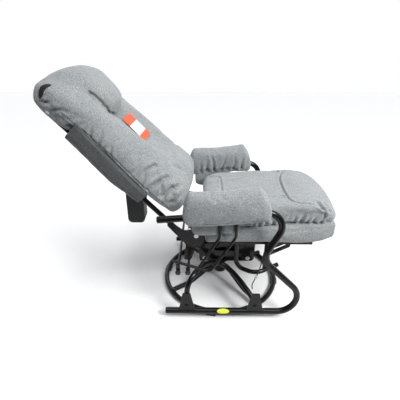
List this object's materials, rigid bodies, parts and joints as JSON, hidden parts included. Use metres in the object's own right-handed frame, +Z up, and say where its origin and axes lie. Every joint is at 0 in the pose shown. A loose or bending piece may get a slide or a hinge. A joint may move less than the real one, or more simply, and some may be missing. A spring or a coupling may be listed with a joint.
{
  "type": "glider nursery chair",
  "caption": "Reclining glider chair: padded seat, back and arms on bent side tubes, gliding on hanging links above a swivelling floor ring.",
  "frame": {"origin": "on the floor under the middle of the whole chair", "axes": "+X the way the chair faces, +Y to the sitter's left, +Z up; the back is modelled fully reclined"},
  "size_m": [1.251, 0.716, 1.0774],
  "materials": {
    "black_steel": "gloss black powder coat",
    "zinc_steel": "zinc-plated steel",
    "chrome_rod": "polished chrome",
    "moulded_plastic": "black moulded plastic",
    "plywood": "raw plywood",
    "woven_fabric": "heather grey woven fabric",
    "rear_fabric": "darker heather grey woven fabric"
  },
  "bodies": {
    "base": {"base_ring": "black_steel", "ring_glide_1": "moulded_plastic", "ring_glide_2": "moulded_plastic", "ring_glide_3": "moulded_plastic", "ring_glide_4": "moulded_plastic", "spoke_frame": "black_steel", "swivel_bearing": "zinc_steel"},
    "swivel_frame": {"hub_housing": "black_steel", "hub_plate": "black_steel", "side_tube_right": "black_steel", "side_tube_left": "black_steel", "arch_right": "black_steel", "arch_left": "black_steel", "arm_pad_right": "woven_fabric", "arm_pad_left": "woven_fabric", "arm_board_right": "plywood", "arm_board_left": "plywood", "arm_skirt_right": "woven_fabric", "arm_skirt_left": "woven_fabric", "tower_right": "black_steel", "tower_left": "black_steel", "saddle_rear_right": "black_steel", "saddle_rear_left": "black_steel", "saddle_front_right": "black_steel", "saddle_front_left": "black_steel", "stay_rear_right": "black_steel", "stay_rear_left": "black_steel", "stay_front_right": "black_steel", "stay_front_left": "black_steel", "cross_rod_rear": "black_steel", "cross_rod_front": "black_steel", "upper_shaft_rear": "zinc_steel", "upper_shaft_front": "zinc_steel", "lock_cable": "moulded_plastic"},
    "front_links": {"glide_link_front_right": "zinc_steel", "glide_link_front_left": "zinc_steel"},
    "rear_links": {"glide_link_rear_right": "zinc_steel", "glide_link_rear_left": "zinc_steel"},
    "carriage": {"carriage_plate_right": "black_steel", "carriage_plate_left": "black_steel", "recline_bracket_right": "black_steel", "recline_bracket_left": "black_steel", "front_loop_right": "black_steel", "front_loop_left": "black_steel", "lower_shaft_rear": "zinc_steel", "lower_shaft_front": "zinc_steel", "seat_pan": "black_steel", "seat_box": "woven_fabric", "seat_cushion": "woven_fabric", "recline_shaft": "zinc_steel"},
    "back": {"back_frame": "black_steel", "back_plate_right": "black_steel", "back_plate_left": "black_steel", "strut_bar": "black_steel", "back_cushion": "woven_fabric", "back_panel": "rear_fabric"},
    "gas_cylinder": {"gas_cylinder": "black_steel"},
    "gas_rod": {"gas_rod": "chrome_rod"},
    "rear_grip": {"rear_grip": "moulded_plastic"},
    "lock_handle": {"lock_handle": "black_steel"}
  },
  "joints": [
    {"name": "swivel", "type": "hinge", "parent": "base", "child": "swivel_frame", "pos_m": [0.12549, 0, 0.11], "axis": [0, 0, 1], "continuous": true},
    {"name": "glide", "type": "hinge", "parent": "swivel_frame", "child": "front_links", "pos_m": [0.25049, 0, 0.335], "axis": [0, 1, 0], "range_deg": [-20, 20]},
    {"name": "glide_level", "type": "hinge", "parent": "front_links", "child": "carriage", "pos_m": [0.25049, 0, 0.215], "axis": [0, 1, 0], "range_deg": [-20.2, 20.2]},
    {"name": "glide_rear", "type": "hinge", "parent": "swivel_frame", "child": "rear_links", "pos_m": [0.04049, 0, 0.335], "axis": [0, 1, 0], "range_deg": [-20.2, 20.2]},
    {"name": "recline", "type": "hinge", "parent": "carriage", "child": "back", "pos_m": [0.00049, 0, 0.395], "axis": [0, 1, 0], "range_deg": [0, 38]},
    {"name": "strut_swing", "type": "hinge", "parent": "carriage", "child": "gas_cylinder", "pos_m": [0.25049, 0, 0.215], "axis": [0, 1, 0], "range_deg": [0, 5.5]},
    {"name": "strut_slide", "type": "slide", "parent": "gas_cylinder", "child": "gas_rod", "axis": [-0.9758, 0, 0.2187], "range_m": [0, 0.07391]},
    {"name": "grip_swing", "type": "hinge", "parent": "back", "child": "rear_grip", "pos_m": [-0.30451, 0, 0.513], "axis": [0, 1, 0], "range_deg": [-42, 20]},
    {"name": "lock_lever", "type": "hinge", "parent": "carriage", "child": "lock_handle", "pos_m": [0.33949, -0.171, 0.332], "axis": [0, 1, 0], "range_deg": [0, 16], "stiffness_Nm_per_rad": 1.5, "springref_deg": -20.05}
  ],
  "couplings": [
    {"joint": "glide_level", "follows": "glide", "ratio": -1},
    {"joint": "glide_rear", "follows": "glide", "ratio": 1},
    {"joint": "strut_swing", "follows": "recline", "ratio": 0.1394},
    {"joint": "strut_slide", "follows": "recline", "m_per_rad": 0.11024}
  ]
}
